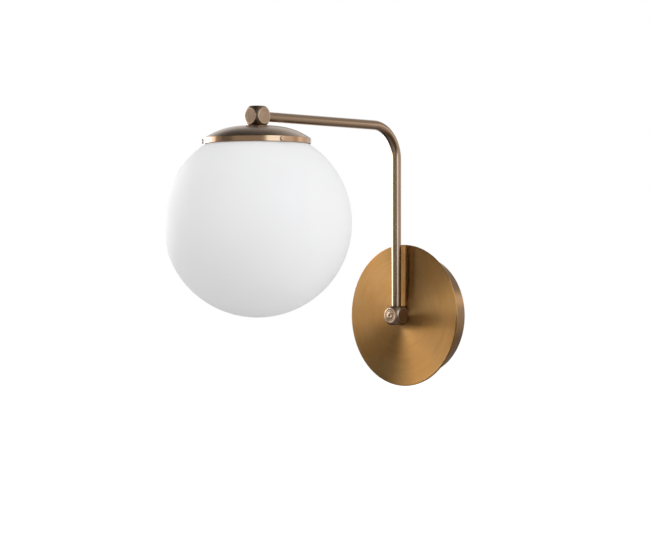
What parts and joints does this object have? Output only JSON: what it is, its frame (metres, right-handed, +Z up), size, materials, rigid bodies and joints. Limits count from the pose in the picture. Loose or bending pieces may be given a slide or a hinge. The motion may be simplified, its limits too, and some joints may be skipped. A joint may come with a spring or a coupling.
{
  "type": "globe wall sconce",
  "caption": "Wall light with a round brass backplate, a bent tube arm between two turned cube knuckles and an opal glass globe under a shallow dome cap.",
  "frame": {"origin": "centre of the wall bracket's two screw slots, on the wall", "axes": "+Y into the wall, so the lamp reaches along -Y; +Z up, as hung; +X to the lamp's side"},
  "size_m": [0.15, 0.269, 0.228],
  "materials": {
    "aged_brass": "antique brass, turned and brushed, satin lacquer",
    "opal_glass": "blown opal glass, satin",
    "plain_brass": "bare turned brass",
    "zinc_steel": "bright zinc plated",
    "black_steel": "blackened steel",
    "white_nylon": "natural nylon",
    "black_phenolic": "moulded phenolic",
    "white_ceramic": "glazed ceramic",
    "clear_rubber": "translucent silicone",
    "white_sheath": "round flexible sheath",
    "brown_core": "core insulation",
    "blue_core": "core insulation",
    "green_core": "green core insulation with a yellow stripe",
    "frosted_glass": "inside frosted lamp glass",
    "bulb_shell": "rolled aluminium",
    "black_glass": "black glass insulator",
    "tin_solder": "tinned contact"
  },
  "bodies": {
    "root": {"wall_bracket": "zinc_steel", "canopy_drum": "aged_brass", "front_disc": "aged_brass", "canopy_nipple": "plain_brass", "canopy_washer": "zinc_steel", "canopy_nut": "zinc_steel", "canopy_screws": "aged_brass", "terminal_block": "white_nylon", "terminal_sleeves": "plain_brass", "terminal_screws": "zinc_steel", "block_screw": "zinc_steel", "earth_screw": "plain_brass", "earth_tag": "plain_brass", "earth_core": "green_core", "live_core_lower": "brown_core", "neutral_core_lower": "blue_core", "lead_lower": "white_sheath", "lower_knuckle": "aged_brass", "arm_lock_screw": "black_steel"},
    "arm": {"arm_tube": "aged_brass", "upper_knuckle": "aged_brass", "lead_upper": "white_sheath", "live_core_upper": "brown_core", "neutral_core_upper": "blue_core", "cap_stem": "plain_brass", "dome_cap": "aged_brass", "cap_nut": "zinc_steel", "neck_gasket": "clear_rubber", "holder_cap": "black_phenolic", "holder_skirt": "black_phenolic", "holder_carrier": "white_ceramic", "thread_shell": "plain_brass", "centre_contact": "plain_brass", "holder_terminals": "plain_brass", "holder_terminal_screws": "zinc_steel"},
    "bulb": {"bulb_glass": "frosted_glass", "bulb_base": "bulb_shell", "bulb_insulator": "black_glass", "bulb_contact": "tin_solder"},
    "globe": {"globe": "opal_glass"},
    "screw_1": {"globe_screw_1": "aged_brass"},
    "screw_2": {"globe_screw_2": "aged_brass"},
    "screw_3": {"globe_screw_3": "aged_brass"}
  },
  "joints": [
    {"name": "arm_swing", "type": "hinge", "parent": "root", "child": "arm", "pos_m": [0, -0.03, 0], "axis": [0, 0, 1], "range_deg": [-65, 65]},
    {"name": "globe_lower", "type": "slide", "parent": "arm", "child": "globe", "axis": [0, 0, -1], "range_m": [0, 0.03]},
    {"name": "bulb_unscrew", "type": "slide", "parent": "arm", "child": "bulb", "axis": [0, 0, -1], "range_m": [0, 0.014]},
    {"name": "globe_screw_1_out", "type": "slide", "parent": "arm", "child": "screw_1", "axis": [0.9563, -0.2924, 0], "range_m": [0, 0.002]},
    {"name": "globe_screw_2_out", "type": "slide", "parent": "arm", "child": "screw_2", "axis": [-0.225, 0.9744, 0], "range_m": [0, 0.002]},
    {"name": "globe_screw_3_out", "type": "slide", "parent": "arm", "child": "screw_3", "axis": [-0.7314, -0.682, 0], "range_m": [0, 0.002]}
  ]
}
